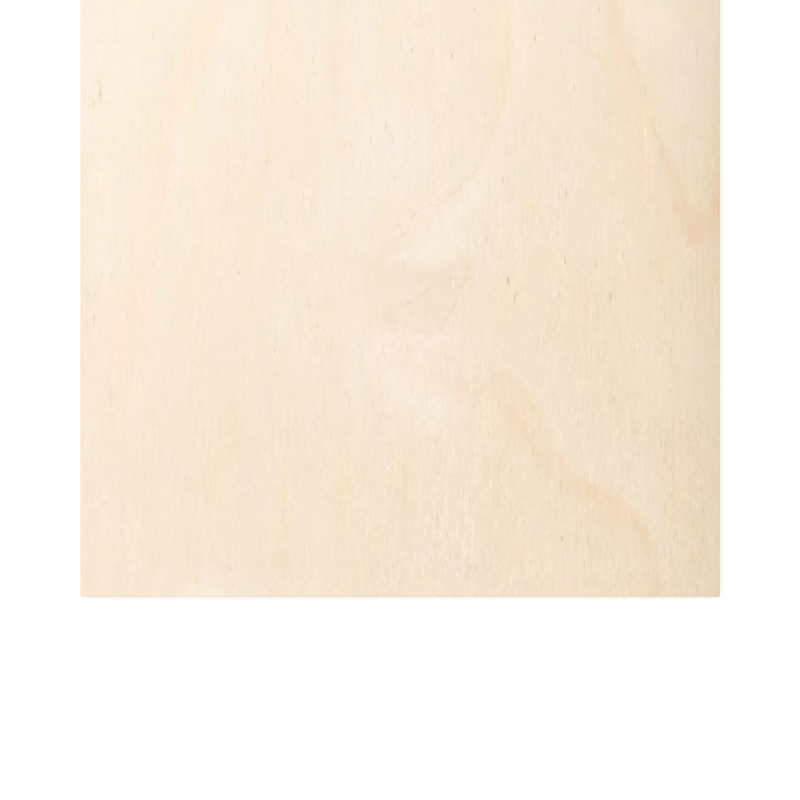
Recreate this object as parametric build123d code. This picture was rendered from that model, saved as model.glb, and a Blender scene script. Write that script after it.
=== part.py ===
from build123d import *
import os

# Birch plywood sheet, lying flat. All sizes are in millimetres.
# The origin is the centre of the underside. +X runs across the face grain,
# +Y runs along it and +Z goes up through the thickness.

# Stock size of the sheet
WIDTH = 300.0
LENGTH = 600.0

# Lay-up: an odd number of veneers, each with its grain square to the next,
# so that face and back both run along the sheet
PLY_COUNT = 5
FACE_VENEER = 1.05
INNER_VENEER = 1.3

# Sawn corners, nearly sharp in plan, and the sanded break round each face
CORNER_RADIUS = 0.8
ARRIS_RADIUS = 0.4

SHEET_FILE = "parts/plywood_sheet.step"


def glue_line_heights():
    """Heights of the underside, of each glue line and of the top face."""
    inner_count = PLY_COUNT - 2
    thicknesses = [FACE_VENEER] + [INNER_VENEER] * inner_count + [FACE_VENEER]
    heights = [0.0]
    for thickness in thicknesses:
        heights.append(heights[-1] + thickness)
    return heights


def pressed_panel():
    """The pressed and sawn sheet as one solid, with a seam round its edges at each glue line."""
    outlines = []
    for height in glue_line_heights():
        outlines.append(Pos(0, 0, height) * RectangleRounded(WIDTH, LENGTH, CORNER_RADIUS))
    return loft(outlines, ruled=True, clean=False)


def break_arrises(panel):
    """Rounds the outline of the face and of the back, as sandpaper does."""
    outlines = panel.faces().filter_by(Axis.Z).edges()
    return fillet(outlines, radius=ARRIS_RADIUS)


sheet = break_arrises(pressed_panel())

os.makedirs("parts", exist_ok=True)
export_step(sheet, SHEET_FILE)
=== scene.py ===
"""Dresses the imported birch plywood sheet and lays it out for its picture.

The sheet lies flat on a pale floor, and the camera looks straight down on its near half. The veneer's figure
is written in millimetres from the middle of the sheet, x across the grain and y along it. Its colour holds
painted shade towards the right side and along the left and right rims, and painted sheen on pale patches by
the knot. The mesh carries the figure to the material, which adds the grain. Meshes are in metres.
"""

from __future__ import annotations

import logging
import math
from collections.abc import Mapping, Sequence
from dataclasses import dataclass
from enum import Enum, IntEnum
from typing import Any

import bpy
import numpy as np
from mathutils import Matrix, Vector

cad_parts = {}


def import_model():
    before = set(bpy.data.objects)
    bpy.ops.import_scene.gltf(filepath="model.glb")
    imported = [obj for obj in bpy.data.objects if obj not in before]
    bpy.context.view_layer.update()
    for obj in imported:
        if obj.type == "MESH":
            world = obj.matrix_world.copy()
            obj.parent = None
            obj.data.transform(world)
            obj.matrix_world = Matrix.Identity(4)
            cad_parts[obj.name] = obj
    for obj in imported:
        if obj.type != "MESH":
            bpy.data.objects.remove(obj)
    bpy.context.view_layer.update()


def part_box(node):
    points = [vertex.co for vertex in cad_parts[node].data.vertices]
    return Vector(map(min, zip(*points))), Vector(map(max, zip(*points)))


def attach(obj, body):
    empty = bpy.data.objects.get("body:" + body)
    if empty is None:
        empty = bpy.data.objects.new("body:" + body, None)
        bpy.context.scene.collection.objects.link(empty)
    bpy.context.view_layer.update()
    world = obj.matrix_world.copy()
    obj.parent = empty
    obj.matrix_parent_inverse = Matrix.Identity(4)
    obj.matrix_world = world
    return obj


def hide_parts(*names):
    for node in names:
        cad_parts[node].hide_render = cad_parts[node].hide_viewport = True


LOG = logging.getLogger("plywood_sheet")

NODE = "plywood_sheet"
BODY = "root"
MM = 0.001

# The lay-up of the sheet, in millimetres
FACE_VENEER = 1.05
INNER_VENEER = 1.3
PLY_COUNT = 5

Pair = tuple[float, float]
Triple = tuple[float, float, float]
Fields = dict[str, np.ndarray]
Tree = bpy.types.NodeTree
Socket = bpy.types.NodeSocket

UNTINTED = (1.0, 1.0, 1.0)


def linear(hex_colour: str) -> Triple:
    """Turns an sRGB colour into linear light by the formula of the sRGB standard.

    Args:
        hex_colour: the colour as "#RRGGBB".

    Returns:
        Its red, green and blue in linear light, from 0 to 1.
    """
    channels = [int(hex_colour[start:start + 2], 16) / 255 for start in (1, 3, 5)]
    return tuple(c / 12.92 if c <= 0.04045 else ((c + 0.055) / 1.055) ** 2.4 for c in channels)


def add_node(
    tree: Tree,
    kind: str,
    inputs: Sequence[Any] | Mapping[str | int, Any] = (),
    output: str | None = None,
    **settings: Any,
) -> Socket | None:
    """Adds one node to a material with its settings, values and links.

    Args:
        tree: the material's node tree.
        kind: the node's type, without the ShaderNode that they all begin with.
        inputs: values to set or sockets to link from, in their order or by name or number.
        output: the name of the output wanted, or None for the first one in use.
        settings: the node's properties by name.

    Returns:
        That output's socket, or None for a node that has no outputs.
    """
    node = tree.nodes.new(f"ShaderNode{kind}")
    for name, value in settings.items():
        setattr(node, name, value)
    for key, value in inputs.items() if isinstance(inputs, Mapping) else enumerate(inputs):
        if isinstance(value, Socket):
            tree.links.new(value, node.inputs[key])
        else:
            node.inputs[key].default_value = value
    if output:
        return node.outputs[output]
    return next((socket for socket in node.outputs if socket.enabled), None)


def start_material(name: str) -> bpy.types.Material:
    """Makes a material with an empty node tree.

    Args:
        name: the material's name.

    Returns:
        The material.
    """
    material = bpy.data.materials.new(name)
    material.use_nodes = True
    material.node_tree.nodes.clear()
    return material


class Tone(Enum):
    """Colours of bare, sanded birch. Each is what the tone does to the plain GROUND colour.

    SHADE is also painted shade along the sheet's right side and rims, and WHITE and PINKISH are also painted
    sheen on pale patches by the knot.
    """

    GROUND = "#F6E5D0"
    PEACH = "#F8E3CC"
    ORANGE = "#F5DEC5"
    OLIVE = "#F4E5CA"
    YELLOW = "#F8E6C8"
    GREENISH = "#F3E7D0"
    BLUISH = "#F6E7D6"
    PINKISH = "#F9E6D6"
    WHITE = "#F9EBDB"
    TAN = "#F4E2CB"
    SHADE = "#ECDBC6"
    BROWN = "#E8D3B8"
    RUST = "#EAD5BC"
    BARK = "#BFA488"

    def tint(self) -> np.ndarray:
        """What the tone multiplies the wood's linear colour by."""
        return np.array(linear(self.value)) / np.array(linear(Tone.GROUND.value))


def tinted(tone: Tone, share: np.ndarray) -> np.ndarray:
    """Works out the tint of each place from how much of a tone it has.

    Args:
        tone: the tone.
        share: how much of it each place has, where 1 is the tone itself.

    Returns:
        One row of red, green and blue factors for each place.
    """
    return tone.tint() ** share[:, None]


@dataclass(frozen=True)
class Streak:
    """A soft patch of another tone, long the way the grain runs.

    The two half sizes are how far from its middle the tone has faded by half. A positive lean takes its
    far end to the right.
    """

    tone: Tone
    x: float
    y: float
    half_width: float
    half_length: float
    strength: float
    lean_degrees: float = 0.0

    def mask(self, x: np.ndarray, y: np.ndarray) -> np.ndarray:
        """How much of the streak's tone shows at each point.

        Args:
            x: places across the grain in millimetres.
            y: places along the grain in millimetres.

        Returns:
            Shares, the streak's strength at its middle.
        """
        lean = math.radians(self.lean_degrees)
        across = (x - self.x) * math.cos(lean) - (y - self.y) * math.sin(lean)
        along = (x - self.x) * math.sin(lean) + (y - self.y) * math.cos(lean)
        return self.strength * 0.5 ** ((across / self.half_width) ** 2 + (along / self.half_length) ** 2)


def smooth_path(points: list[Triple], steps: int = 6) -> np.ndarray:
    """Runs a Catmull-Rom curve through given points.

    Args:
        points: x, y and strength of each point.
        steps: pieces that each span is divided into.

    Returns:
        One row of x, y and strength for each place along the curve.
    """
    p = np.array([points[0], *points, points[-1]], dtype=float)
    t = np.linspace(0, 1, steps, endpoint=False)[:, None]
    spans = []
    for a, b, c, d in zip(p[:-3], p[1:-2], p[2:-1], p[3:]):
        curve = 2 * b + (c - a) * t + (2 * a - 5 * b + 4 * c - d) * t**2 + (3 * b - a - 3 * c + d) * t**3
        spans.append(curve / 2)
    return np.vstack([*spans, p[-1:]])


def nearest_on_path(points: list[Triple], x: np.ndarray, y: np.ndarray) -> tuple[np.ndarray, np.ndarray]:
    """Measures places from a curve.

    Args:
        points: x, y and strength of the points that the curve goes through.
        x: places across the grain in millimetres.
        y: places along the grain in millimetres.

    Returns:
        Each place's distance from the curve, over 0 to the left of its way and under 0 to the right, and
        the curve's strength at the nearest point.
    """
    path = smooth_path(points)
    best = np.full(x.shape, np.inf)
    side = np.zeros(x.shape)
    strength = np.zeros(x.shape)
    for (ax, ay, a_strength), (bx, by, b_strength) in zip(path[:-1], path[1:]):
        dx, dy = bx - ax, by - ay
        share = np.clip(((x - ax) * dx + (y - ay) * dy) / (dx * dx + dy * dy), 0, 1)
        distance = np.hypot(x - ax - share * dx, y - ay - share * dy)
        nearer = distance < best
        best = np.where(nearer, distance, best)
        side = np.where(nearer, np.sign(dx * (y - ay) - dy * (x - ax)), side)
        strength = np.where(nearer, a_strength + share * (b_strength - a_strength), strength)
    return best * side, strength


@dataclass(frozen=True)
class Band:
    """A long streak that bends. Each of its points has a strength."""

    tone: Tone
    half_width: float
    points: list[Triple]

    def mask(self, x: np.ndarray, y: np.ndarray) -> np.ndarray:
        """How much of the band's tone shows at each point.

        Args:
            x: places across the grain in millimetres.
            y: places along the grain in millimetres.

        Returns:
            Shares, the band's strength along its middle.
        """
        distance, strength = nearest_on_path(self.points, x, y)
        return strength * 0.5 ** ((distance / self.half_width) ** 2)


@dataclass(frozen=True)
class GrowthLine:
    """The edge of a year ring where the lathe's knife left it.

    The latewood darkens up to the line on the right of the way its points run and stops there, and the next
    year's pale wood starts on the left. The softness is how far the change reaches, in millimetres. Each
    point has a strength.
    """

    softness: float
    latewood: Tone
    latewood_width: float
    earlywood: Tone
    earlywood_width: float
    earlywood_share: float
    points: list[Triple]


@dataclass(frozen=True)
class Hairline:
    """A thin brown line, such as a ring round a knot. Each point has a strength."""

    points: list[Triple]


@dataclass(frozen=True)
class Fleck:
    """A bark speck or an open vessel, long along the grain."""

    x: float
    y: float
    width: float
    length: float
    strength: float


GROWTH_LINES = [
    GrowthLine(1.2, Tone.OLIVE, 4.0, Tone.PINKISH, 5.0, 0.6, [
        (56, 300, 0.4), (48, 180, 0.7), (53, 70, 1.0), (51, -20, 1.4), (51, -60, 1.5), (49, -72, 1.4),
        (46, -80, 1.1), (42.2, -89, 0.7), (37, -98.5, 0.4), (31, -105.5, 0.2), (22, -113.5, 0.2),
        (13, -117, 0.1), (5.5, -123.3, 0.1), (1, -131, 0.0),
    ]),
    GrowthLine(2.6, Tone.ORANGE, 6.5, Tone.PINKISH, 7.0, 0.2, [
        (15, -197.5, 0.0), (27, -200.3, 0.3), (37, -201.5, 0.5), (43, -197.5, 0.7), (48.5, -194, 0.8),
        (55, -198.5, 0.9), (60.5, -206, 0.9), (64.5, -214, 0.8), (68.5, -223, 0.8), (72, -231, 0.8),
        (78, -239, 0.6), (87, -245, 0.6), (97, -250.5, 0.5), (107, -256.5, 0.5), (113, -263.5, 0.5),
        (117.5, -275, 0.6), (120, -287, 0.6), (122, -300, 0.6),
    ]),
    GrowthLine(2.6, Tone.ORANGE, 4.5, Tone.WHITE, 8.0, 0.35, [
        (104, 300, 0.4), (97, 160, 0.6), (99, 60, 0.6), (103.5, -20, 0.6), (107, -38, 0.35),
        (111, -50, 0.2), (117, -66, 0.2), (121, -80, 0.2), (124.5, -92, 0.1), (130, -102, 0.15),
        (134, -112, 0.3), (140.5, -119, 0.3), (150, -127, 0.5),
    ]),
    # Its pale side is the lower edge of the painted sheen above the knot; its dark side is the wood's own.
    GrowthLine(3.0, Tone.TAN, 7.0, Tone.WHITE, 5.0, 0.8, [
        (-8, -141, 0.0), (0, -141, 0.3), (6, -143, 0.6), (13, -145.2, 0.7), (20, -145.5, 0.7),
        (25.5, -141.5, 0.6), (31, -136, 0.3), (36, -127, 0.0),
    ]),
]

HAIRLINES = [
    Hairline([
        (42, -90, 0.0), (37, -98.5, 0.5), (31, -105.5, 0.7), (22, -113.5, 0.7), (17.5, -116.6, 0.4),
        (13, -116.6, 0.3), (9, -119.2, 0.4), (5.3, -123.3, 0.6), (3.8, -128, 0.7), (0, -131.5, 0.8),
    ]),
    Hairline([
        (15, -153, 0.3), (13.5, -155.5, 1.0), (10, -158.8, 0.85), (6, -161.6, 0.7), (0, -163.8, 0.45),
        (-5, -166, 0.3), (-6.5, -169.5, 0.2), (0, -172, 0.3), (7, -174.4, 0.4), (13, -175.6, 0.6),
        (20.5, -173.5, 0.2),
    ]),
    Hairline([
        (32.3, -143, 0.2), (31, -150, 0.8), (28.6, -155, 0.9), (26.3, -161, 0.9), (24.5, -166, 0.6),
        (22, -169.5, 0.7), (18, -173, 0.2),
    ]),
    Hairline([
        (-8.5, -124.5, 0.1), (-5.5, -124.2, 0.3), (-3, -127, 0.35), (-0.5, -125.5, 0.35), (1.5, -130, 0.2),
    ]),
]

BANDS = [
    Band(Tone.PEACH, 4.8, [
        (-70, 190, 0.0), (-78, 110, 0.6), (-83, 30, 0.8), (-87, -20, 1.3), (-90.5, -38, 1.4),
        (-96, -50, 1.4), (-102.5, -60, 1.3), (-107, -76, 1.0), (-110, -96, 0.9), (-114, -112, 1.0),
        (-118, -128, 1.0), (-121, -145, 1.0), (-124.5, -166, 1.0), (-130, -195, 0.7), (-136, -225, 0.3),
    ]),
    Band(Tone.OLIVE, 2.2, [
        (-90, 60, 0.0), (-94, -5, 0.5), (-97, -27, 0.9), (-101.5, -41, 0.9), (-106.5, -50, 1.0),
        (-112, -62, 0.6), (-117, -76, 0.8), (-118, -92, 0.5),
    ]),
    Band(Tone.OLIVE, 2.6, [
        (-92, -54, 0.3), (-96, -66, 0.9), (-99, -80, 0.9), (-98, -94, 0.6), (-101, -116, 0.5),
    ]),
    Band(Tone.BLUISH, 2.0, [
        (-98, -70, 0.2), (-102.5, -80, 0.8), (-105, -95, 0.8), (-107.5, -108, 0.4),
    ]),
    Band(Tone.GREENISH, 3.4, [
        (-104, -112, 0.4), (-106.5, -126, 0.6), (-108.5, -142, 0.6), (-110.5, -156, 0.9), (-111, -166, 0.8),
        (-110, -178, 0.2),
    ]),
    Band(Tone.ORANGE, 1.1, [
        (-60, 20, 0.0), (-60.5, -12, 0.4), (-61, -30, 0.5), (-63, -50, 0.3),
    ]),
    Band(Tone.ORANGE, 1.4, [
        (-26, 0, 0.0), (-29, -28, 0.4), (-31, -45, 0.65), (-30, -62, 0.65), (-29, -80, 0.4),
        (-27, -92, 0.6), (-26, -100, 0.2),
    ]),
    # Painted shade: the wood darkens towards the right side, away from the lamp on the left.
    Band(Tone.SHADE, 21.0, [
        (158, 300, 1.0), (158, -40, 1.0), (156, -180, 1.05), (156, -300, 1.0),
    ]),
    Band(Tone.BROWN, 2.2, [
        (46, -202, 0.1), (52, -214, 0.25), (58, -227, 0.25), (66, -237, 0.2), (77, -247, 0.2),
        (88, -251, 0.1), (104, -259, 0.1), (114, -270, 0.3), (117.5, -280, 0.2), (120, -300, 0.3),
    ]),
    Band(Tone.ORANGE, 1.5, [
        (-6, -186, 0.0), (2, -189.5, 0.3), (8, -193, 0.4), (14, -196.5, 0.5), (21, -197.5, 0.3),
        (27, -200, 0.5), (34, -202.5, 0.9), (40, -202, 0.8), (44, -199, 0.0),
    ]),
    Band(Tone.TAN, 1.7, [
        (3, -135.6, 0.6), (-2, -136.4, 1.4), (-6, -138, 1.5), (-9.5, -141, 1.2), (-12, -146, 0.3),
    ]),
    Band(Tone.WHITE, 1.3, [
        (2, -139.5, 0.5), (-3, -142, 0.6), (-7, -145.5, 0.4), (-9, -149, 0.0),
    ]),
    Band(Tone.BROWN, 1.1, [
        (106, -44, 0.0), (109, -50, 0.45), (112, -57, 0.1), (115.5, -64, 0.25), (118, -72, 0.05),
        (119.5, -80, 0.5), (121, -87, 0.35), (123.5, -94, 0.1),
    ]),
    Band(Tone.OLIVE, 1.3, [
        (108, -50, 0.2), (114, -62, 0.5), (116.5, -72, 0.3), (118.5, -82, 0.7), (121, -90, 0.0),
    ]),
    Band(Tone.RUST, 1.3, [
        (120, -82, 0.0), (122, -90, 0.3), (123.5, -96, 0.25), (127.5, -101, 0.1), (131, -108, 0.3),
        (132, -118, 0.3), (131.5, -130, 0.3),
    ]),
    Band(Tone.OLIVE, 3.2, [
        (97, -30, 0.4), (97, -48, 1.1), (98, -60, 1.1), (103, -72, 0.9), (107, -90, 0.6), (109, -110, 0.9),
        (111, -130, 0.6),
    ]),
    Band(Tone.OLIVE, 2.6, [
        (115, -50, 0.3), (120, -62, 0.6), (127, -76, 0.5), (132, -86, 0.5), (139, -98, 0.5),
        (142, -108, 0.5),
    ]),
    Band(Tone.PINKISH, 1.3, [
        (20, -116, 0.3), (14, -117.5, 0.9), (8, -121, 0.7), (3, -127, 0.8), (-4, -133, 0.4),
    ]),
    # Painted sheen: the pale shimmer of the fibres above the knot.
    Band(Tone.WHITE, 5.0, [
        (50, -80, 0.1), (45.5, -94, 0.2), (38.5, -105, 0.4), (29, -115, 0.45), (19, -126, 0.2),
    ]),
]

STREAKS = [
    Streak(tone, *row)
    for tone, rows in {
        Tone.PEACH: [
            (-57, -42, 5, 22, 0.6), (-58, -83, 7, 13, 0.8), (-45, -95, 6, 11, 0.8, 5),
            (-57, -60, 6, 8, 0.5), (-82, -107, 11, 16, 0.9, 8), (-68, -100, 7, 10, 0.5),
            (-103, -155, 4.5, 13, 0.9), (-135, -185, 7, 24, 0.55), (-118, -195, 5, 14, 0.5),
            (-137, -218, 5, 9, 0.6), (-16, -66, 2.5, 6, 0.7), (-38, -50, 2.5, 9, 0.5),
            (12, -58, 4, 14, 0.5), (22, -78, 4, 10, 0.6), (30, -62, 3, 8, 0.4), (-62, -145, 8, 18, 0.4),
            (-35, -165, 4, 6, 0.6), (-30, -180, 8, 12, 0.4), (109, -60, 3, 11, 0.9, -20),
            (114, -95, 4.5, 14, 0.9, -4), (126, -118, 4, 10, 0.6), (126, -130, 5, 14, 0.5),
            (86, -163, 2.5, 6, 0.9), (86, -180, 2, 6, 0.9), (91, -192, 2.5, 5, 0.8),
            (54, -218, 4, 9, 0.8, -25), (100, -262, 7, 8, 0.9), (86, -255, 6, 5, 0.8),
            (140, -165, 6, 8, 0.8), (130, -221, 7, 3, 0.9), (135, -228, 3, 8, 0.8), (144, -240, 5, 9, 0.9),
            (54, -279, 3, 5, 0.8), (76, -284, 2, 5, 0.7), (87, -297, 4, 3, 0.6), (8, -292, 4, 6, 0.5),
            (-137, -285, 4, 7, 0.6), (-92, -147, 10, 9, 0.7), (-35, -78, 4, 8, 0.4), (113, -98, 4, 10, 0.8),
            (110, -64, 4, 12, 0.5), (-149, -262, 4, 12, 0.4), (110, -268, 8, 8, 0.3), (104, -57, 3, 9, 0.4),
        ],
        Tone.ORANGE: [
            (99.5, -27, 2.2, 8, 0.7), (105, -43, 2, 4, 0.6, -10), (138.5, -126, 4, 7, 1.3),
            (127, -97, 3, 6, 0.4), (98, -19, 3, 4, 0.4), (122.2, -92, 1.4, 6, 1.1, -12),
            (130, -104, 3, 6, 0.7, -25), (133, -118, 3.5, 8, 0.7), (148, -118, 3, 8, 1.8),
            (149.5, -106, 2, 9, 1.0), (137, -131, 3, 4, 0.6), (88, -249, 2.5, 5, 0.6, -60),
            (150, -132, 7, 26, 0.5), (-148, -290, 3, 10, 0.3), (112, -228, 6, 8, 0.3),
            (149, -151, 4, 6, 0.4), (88, -250, 4, 2, 0.4), (70, -234, 4, 4, 0.3), (3, -252, 2.5, 16, 0.5),
            (-55, -282, 4, 4, 0.5), (62, -231, 2.5, 4, 0.4, -30), (56, -224, 4, 7, 0.3),
        ],
        Tone.OLIVE: [
            (-97, -27, 2.5, 6, 0.3), (-107, -49, 3, 3.5, 0.5), (-61, -93, 1.3, 3.5, 1.2),
            (-69, -114, 1.8, 4.5, 1.3), (-69, -130, 4, 6, 0.6), (-74, -146, 1.8, 7, 1.1),
            (-90, -138, 2, 6, 0.7), (-10, -118.7, 1.1, 2.8, 1.6, 25), (-7, -117, 1.1, 1.6, 1.5, 60),
            (-10, -151, 4, 4, 0.5), (-5, -168, 3, 3, 0.6), (22, -151, 3, 4, 0.4), (31, -147, 1.8, 4, 0.7),
            (-8, -32, 4.5, 17, 0.5), (18, -32, 1.5, 7, 0.8), (14, -50, 2.5, 8, 0.5), (45, -55, 2, 9, 0.6),
            (66, -58, 3, 6, 0.5), (60, -118, 1.8, 9, 1.6), (93.5, -100, 1.2, 13, 0.8),
            (98, -95, 3, 14, 0.4), (64, -80, 3, 5, 0.5), (134, -30, 2, 8, 0.8), (147, -82, 3, 20, 1.2),
            (134, -82, 9, 4, 1.1), (138, -110, 5, 8, 0.6), (117, -78, 5, 10, 0.3),
            (-148.5, -143, 1.8, 10, 1.2), (-148, -110, 5, 22, 0.3), (-147, -215, 2, 25, 0.5),
            (-124, -177, 3, 6, 0.6), (-70, -196, 3, 5, 0.7), (-79, -222, 3.5, 16, 1.2, 6),
            (-86, -240, 4.5, 13, 1.1, 12), (-90, -257, 2.5, 6, 0.7, 15), (-103, -221, 2.3, 6, 0.9),
            (-115, -210, 2, 5, 0.6), (-55, -196, 2, 9, 0.9), (-53, -215, 1.8, 8, 0.9),
            (-54, -262, 3.5, 22, 1.0), (-32, -223, 2.5, 4.5, 0.9), (-27, -252, 2.8, 15, 1.4),
            (-18, -241, 1.5, 5, 0.8), (-12, -273, 2, 13, 1.1), (-20, -290, 3, 10, 0.8),
            (0, -243, 2, 14, 1.3), (-115, -273, 5, 7, 0.8), (-99, -280, 2, 6, 0.8),
            (-98, -248, 2.5, 3, 0.8), (-135, -230, 6, 5, 0.6), (48, -163, 5, 10, 0.7),
            (78, -172, 8, 14, 0.5), (95, -175, 8, 20, 0.5), (105, -200, 12, 16, 0.5),
            (44, -258, 7, 26, 0.7), (65, -252, 8, 12, 0.7), (78, -258, 4, 5, 0.6), (92, -287, 8, 8, 0.4),
            (125, -212, 10, 8, 0.4), (64, -215, 1.8, 5, 1.0, -20), (46, -196, 1.3, 3, 1.4),
            (-115, -255, 14, 28, 0.25), (8, -243, 26, 18, 0.35), (58, -243, 16, 14, 0.3),
            (92, -225, 10, 12, 0.2), (-26, -262, 10, 16, 0.3), (149, -182, 6, 14, 0.5),
            (122, -53, 6, 12, 0.3), (-52, -233, 8, 12, 0.35), (4, -190, 5, 4, 0.5), (-108, -100, 4, 9, 0.3),
            (63.5, -213, 1.6, 6, 0.5, -20), (-34, -204, 5, 8, 0.3), (68, -222, 3, 6, 0.3, -20),
        ],
        Tone.YELLOW: [
            (-94, -42, 2, 4, 0.5), (72, -143, 5, 4, 0.7), (117, -75, 3, 7, 0.5, -15),
            (133, -114, 3, 7, 0.5), (55, -155, 3, 6, 0.7), (135, -268, 7, 18, 0.5),
            (-140.8, -60.5, 1, 4, 0.8), (-145, -68, 1, 4.5, 1.3), (-145, -163, 4, 4, 0.5),
            (102, -160, 10, 10, 0.3), (-69, -127, 2, 3, 0.3), (117, -300, 4, 4, 0.5),
            (93, -254, 3, 3, 0.7, -50), (-134, -158, 4, 5, 0.6), (53, -39, 6, 17, 0.6),
            (120, -146, 12, 8, 0.35), (148, -148, 4, 6, 0.4), (-29, -298, 5, 4, 0.6), (63, -282, 6, 8, 0.3),
            (-29, -246, 3, 5, 0.4), (-34, -150, 3, 4, 0.4), (28, -271, 4, 5, 0.3), (9, -240, 3, 4, 0.5),
            (94, -22, 2, 3, 0.5), (-69, -53, 4, 5, 0.4), (-94, -187, 4, 8, 0.3), (-75, -144, 3, 6, 0.2),
            (84, -201, 5, 6, 0.3), (43, -210, 6, 7, 0.35), (41, -166, 7, 8, 0.3), (-54, -40, 5, 12, 0.3),
            (41, -96, 3, 6, 0.2), (4, -26, 8, 7, 0.2), (113, -264, 3, 6, 0.4), (116, -279, 2, 8, 0.4),
            (60, -206, 2, 7, 0.3, -25),
        ],
        Tone.GREENISH: [
            (-74, -80, 3.5, 8, 0.6), (-101, -132, 6, 11, 0.5), (-62, -115, 3.5, 8, 0.5),
            (-62, -176, 3.5, 4.5, 0.8), (-48, -168, 5, 9, 0.5), (-34, -190, 2, 3, 0.6),
            (-105, -187, 3, 4, 0.5), (-134, -213, 4, 5, 0.7), (-127, -205, 4, 4, 0.5), (24, -64, 5, 7, 0.6),
            (78, -31, 3, 5, 0.6), (54, -100, 3.5, 4.5, 0.6), (36, -126, 1.8, 14, 0.5),
            (47, -202, 3, 4, 0.8), (-40, -34, 3, 6, 0.4), (2, -50, 5, 12, 0.4), (-132, -287, 5, 8, 0.4),
            (-100, -299, 10, 2.5, 0.6), (-41, -297, 5, 4, 0.6), (100, -130, 6, 12, 0.3),
            (122, -228, 2.5, 4, 0.5), (32, -212, 4, 4, 0.5), (26, -94, 5, 8, 0.3), (115, -258, 3, 4, 0.5),
        ],
        Tone.BLUISH: [
            (-76, -33, 9, 16, 0.8), (-87, -58, 6, 9, 0.7), (-86, -76, 6, 10, 0.6), (-40, -40, 5, 20, 0.6),
            (-17, -45, 4, 22, 0.8), (-24, -75, 4.5, 14, 0.4), (-30, -85, 3, 10, 0.3),
            (-93, -100, 4, 6, 0.5), (-57, -104, 1.5, 5, 0.9), (-47, -132, 1.8, 9, 0.9),
            (-33, -121, 2, 6, 0.3), (-56, -166, 1.8, 10, 1.0), (-22, -112, 12, 16, 0.7),
            (-2, -88, 12, 15, 0.8), (10, -95, 9, 10, 0.4), (5, -108, 10, 6, 0.3), (135, -55, 9, 20, 0.8),
            (128, -68, 5, 8, 0.3), (137, -89, 4, 2.5, 0.6), (-138, -143, 6, 12, 0.5),
            (-49, -190, 2.5, 7, 0.8), (-21, -183, 5, 13, 0.9), (-21, -205, 2, 10, 0.8),
            (-149.5, -262, 1, 15, 0.8), (-90, -290, 4, 5, 1.2), (57, -45, 3, 18, 0.6),
            (82, -100, 7, 14, 0.4), (75, -115, 5, 10, 0.4), (72, -205, 5, 11, 0.4), (84, -222, 7, 11, 0.5),
            (99, -235, 8, 8, 0.6), (114, -244, 4, 9, 0.8), (120.5, -262, 2, 9, 0.9),
            (125, -280, 2, 10, 0.7), (117, -185, 1.5, 8, 0.8), (119, -203, 2.5, 4, 1.0),
            (20, -255, 12, 22, 0.3), (110, -228, 5, 4, 0.6),
        ],
        Tone.PINKISH: [
            (-147.5, -79, 1.5, 7, 1.0), (-105, -88, 2, 8, 0.7), (-97, -103, 4, 3, 0.8),
            (-120, -118, 2, 6, 0.8), (-127, -128, 2, 4, 0.8), (-55, -46, 4, 3.5, 0.9),
            (-30, -116, 3, 5, 0.7), (56, -35, 3.5, 16, 0.4), (138, -52, 7, 20, 0.65), (130, -70, 6, 8, 0.4),
            # The patch at (13, -178.5) is painted sheen, a pinkish shimmer of the fibres below the knot.
            (137, -89, 4, 2.5, 0.7), (116, -90, 3, 10, 0.5), (13, -178.5, 13, 2.8, 1.1),
            (10, -185, 4, 4, 0.9), (18, -207, 3.5, 4, 0.8), (-10, -188, 6, 6, 0.6), (3, -195, 3, 2.5, 0.9),
            (-8, -220, 3, 4, 0.8), (24, -286, 3, 3, 0.7), (-22, -170, 4, 5, 0.5), (10, -120, 50, 130, 0.35),
            (0, -202, 14, 18, 0.3, -30), (-100, -16, 8, 10, 0.45), (-2, -72, 24, 24, 0.2),
            (14, -187, 9, 5, 0.4), (75, -32, 11, 15, 0.3), (96, -230, 15, 13, 0.3), (113, -246, 5, 13, 0.3),
        ],
        Tone.WHITE: [
            # The patches at (15, -136), (21, -125), (-4, -196), (6, -206) and (17, -214) are painted sheen.
            (15, -136, 11, 6, 0.75), (21, -125, 12, 8, 0.35), (-4, -196, 9, 13, 0.35, -30),
            (6, -206, 12, 12, 0.45, -40), (17, -214, 10, 7, 0.35, -40), (-10, -184, 5, 8, 0.3),
            # The patches at (33, -114) and (14, -179) are painted sheen too.
            (119, -32, 9, 14, 0.5), (33, -114, 6, 11, 0.3, 20), (14, -179, 12, 3, 0.3),
            (5, -110, 45, 90, 0.15), (-90, -300, 18, 5, 1.0), (30, -298, 8, 5, 0.4), (-8, -260, 5, 5, 0.3),
            (46, -287, 4, 5, 0.3), (-5, -86, 10, 12, 0.15), (-32, -173, 4, 5, 0.4), (-48, -300, 8, 4, 0.4),
            # The patch at (30, -131) is painted sheen too.
            (60, -28, 30, 14, 0.15), (30, -131, 7, 8, 0.15),
        ],
        Tone.TAN: [
            (8, -151, 14, 5, 0.4), (10, -166, 15, 6, 1.0), (-10, -150, 6, 7, 1.0), (24, -153, 8, 7, 0.4),
            (28, -143, 5, 3, 0.4), (22, -152, 2.2, 4.5, 0.9), (-5, -168, 3, 3, 0.6), (20, -152, 1, 4, 0.6),
            (24, -150, 0.9, 5, 0.6), (-90, -200, 40, 50, 0.3), (-126, -240, 16, 14, 0.5),
            (-57, -224, 8, 18, 0.4), (105, -222, 24, 26, 0.45), (92, -270, 10, 9, 0.9),
            (120, -168, 4, 12, 0.5), (82, -166, 12, 20, 0.4), (121, -146, 12, 8, 0.35),
            (112, -152, 4, 4, 0.5), (-104, -213, 6, 8, 0.3), (-149, -180, 4, 14, 0.8),
            (-119, -224, 6, 8, 0.3), (-60, -201, 5, 8, 0.3),
        ],
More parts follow.
